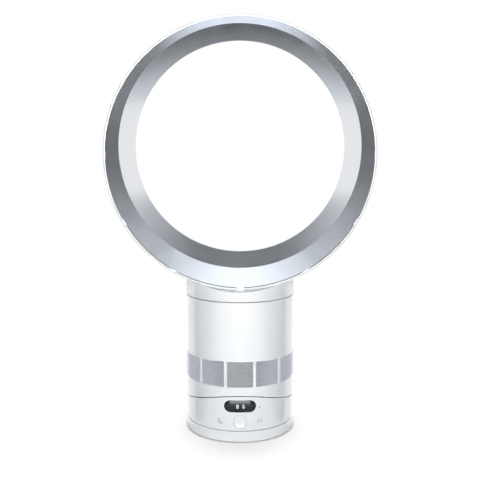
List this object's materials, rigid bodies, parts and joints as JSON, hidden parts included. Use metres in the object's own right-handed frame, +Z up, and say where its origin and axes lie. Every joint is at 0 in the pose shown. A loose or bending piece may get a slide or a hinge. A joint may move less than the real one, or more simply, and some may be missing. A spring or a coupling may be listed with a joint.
{
  "type": "bladeless fan",
  "caption": "Bladeless table fan: round upright body with a band of inlet panels, and a large open loop that blows air from its rear edge.",
  "frame": {"origin": "centre of the round base, on the surface that the fan stands on", "axes": "+Z up, -Y the front that the air blows out of, +X to the right seen from the front"},
  "size_m": [0.3552, 0.147, 0.5527],
  "materials": {
    "white_shell": "gloss moulded white",
    "white_plastic": "moulded white, plain",
    "silver_paint": "satin silver paint on plastic",
    "grille_grey": "satin silver grey",
    "rubber": "black moulded rubber",
    "steel": "bright zinc plated",
    "ballast_iron": "raw cast",
    "grey_plastic": "dark grey moulded",
    "bearing_plastic": "natural acetal",
    "circuit_board": "green solder mask",
    "black_plastic": "black moulded",
    "black_window": "polished black, lets light through",
    "clear_plastic": "clear acrylic, frosted end",
    "foam": "open-cell foam",
    "motor_core": "laminations with copper windings"
  },
  "bodies": {
    "foot": {"foot_shell": "white_shell", "foot_plate": "white_plastic", "rubber_feet": "rubber", "foot_screws": "steel", "ballast_ring": "ballast_iron", "pivot_post": "grey_plastic", "pivot_retainer": "steel", "swing_ring_gear": "bearing_plastic", "glide_ring": "bearing_plastic", "dc_inlet": "black_plastic"},
    "base": {"base_shell": "white_shell", "base_floor": "white_plastic", "base_screws": "steel", "pivot_bush": "bearing_plastic", "tilt_saddle": "white_plastic", "saddle_screws": "steel", "tilt_glide_strips": "bearing_plastic", "board_bracket": "grey_plastic", "control_board": "circuit_board", "power_switch": "black_plastic", "display_board": "circuit_board", "display_module": "black_plastic", "display_lens": "black_window", "ir_window": "black_window", "moon_light_guide": "clear_plastic", "swing_light_guide": "clear_plastic", "swing_motor": "steel", "motor_screws": "steel"},
    "pinion": {"swing_pinion": "bearing_plastic"},
    "button": {"power_button": "white_shell"},
    "body": {"body_shell": "white_shell", "inlet_grille": "grille_grey", "tilt_carriage": "white_plastic", "carriage_screws": "steel", "tilt_hooks": "grey_plastic", "lower_foam": "foam", "upper_foam": "foam", "impeller_housing": "grey_plastic", "housing_gasket": "rubber", "motor_bucket": "grey_plastic", "motor_cap": "grey_plastic", "motor_stator": "motor_core", "motor_bearings": "steel", "bayonet_ring": "white_plastic"},
    "fan": {"impeller": "grey_plastic", "motor_shaft": "steel", "rotor_magnet": "motor_core", "impeller_nut": "steel"},
    "loop": {"loop_outer_casing": "white_shell", "loop_inner_casing": "silver_paint", "loop_front_trim": "silver_paint", "loop_collar": "white_plastic", "neck_seal": "rubber"}
  },
  "joints": [
    {"name": "base_swing", "type": "hinge", "parent": "foot", "child": "base", "pos_m": [0, 0, 0.0153], "axis": [0, 0, 1], "range_deg": [-35, 35]},
    {"name": "pinion_turn", "type": "hinge", "parent": "base", "child": "pinion", "pos_m": [0, 0.035, 0.007], "axis": [0, 0, 1], "range_deg": [-160, 160]},
    {"name": "body_tilt", "type": "hinge", "parent": "base", "child": "body", "pos_m": [0, 0, 0.2181], "axis": [1, 0, 0], "range_deg": [-10, 10]},
    {"name": "fan_spin", "type": "hinge", "parent": "body", "child": "fan", "pos_m": [0, 0, 0.13], "axis": [0, 0, 1], "continuous": true},
    {"name": "loop_twist", "type": "hinge", "parent": "body", "child": "loop", "pos_m": [0, 0, 0.1867], "axis": [0, 0, 1], "range_deg": [0, 25]},
    {"name": "button_press", "type": "slide", "parent": "base", "child": "button", "axis": [0, 1, 0], "range_m": [0, 0.001], "stiffness_N_per_m": 600}
  ],
  "couplings": [
    {"joint": "pinion_turn", "follows": "base_swing", "ratio": -4.5}
  ]
}
